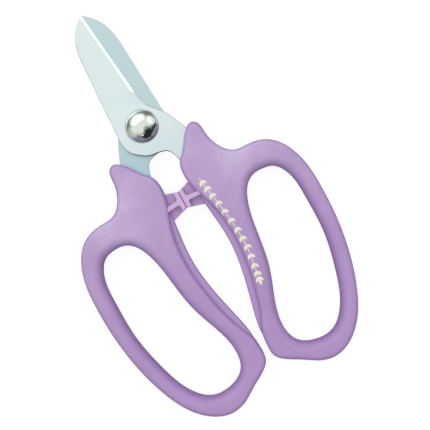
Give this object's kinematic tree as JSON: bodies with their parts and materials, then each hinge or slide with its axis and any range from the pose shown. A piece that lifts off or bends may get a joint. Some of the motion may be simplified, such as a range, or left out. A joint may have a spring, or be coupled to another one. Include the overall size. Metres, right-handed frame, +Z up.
{
  "type": "floral snips",
  "caption": "Floral snips with short pointed steel blades on a domed pivot bolt and wide looped handles: soft grips over hard cores with closing stops.",
  "frame": {"origin": "centre of the footprint on the surface that the snips lie on", "axes": "+Z up from the surface along the pivot, +Y along the snips towards the blade tips, +X towards the handle of the upper blade"},
  "size_m": [0.106, 0.1754, 0.0132],
  "materials": {
    "blade_steel": "fine ground stainless, cutting bevel brighter",
    "core_resin": "satin moulded, lilac",
    "grip_elastomer": "soft matte, lilac",
    "bolt_chrome": "polished",
    "washer_resin": "smooth",
    "spring_steel": "dull",
    "nut_steel": "zinc plated"
  },
  "bodies": {
    "lower_half": {"lower_blade": "blade_steel", "lower_core": "core_resin", "lower_grip": "grip_elastomer", "thrust_washer": "washer_resin"},
    "upper_half": {"upper_blade": "blade_steel", "upper_core": "core_resin", "upper_grip": "grip_elastomer", "pivot_bolt": "bolt_chrome", "spring_washer": "spring_steel", "lock_nut": "nut_steel"}
  },
  "joints": [
    {"name": "pivot", "type": "hinge", "parent": "lower_half", "child": "upper_half", "pos_m": [0, 0.0346, 0.006], "axis": [0, 0, 1], "range_deg": [0, 75]}
  ]
}
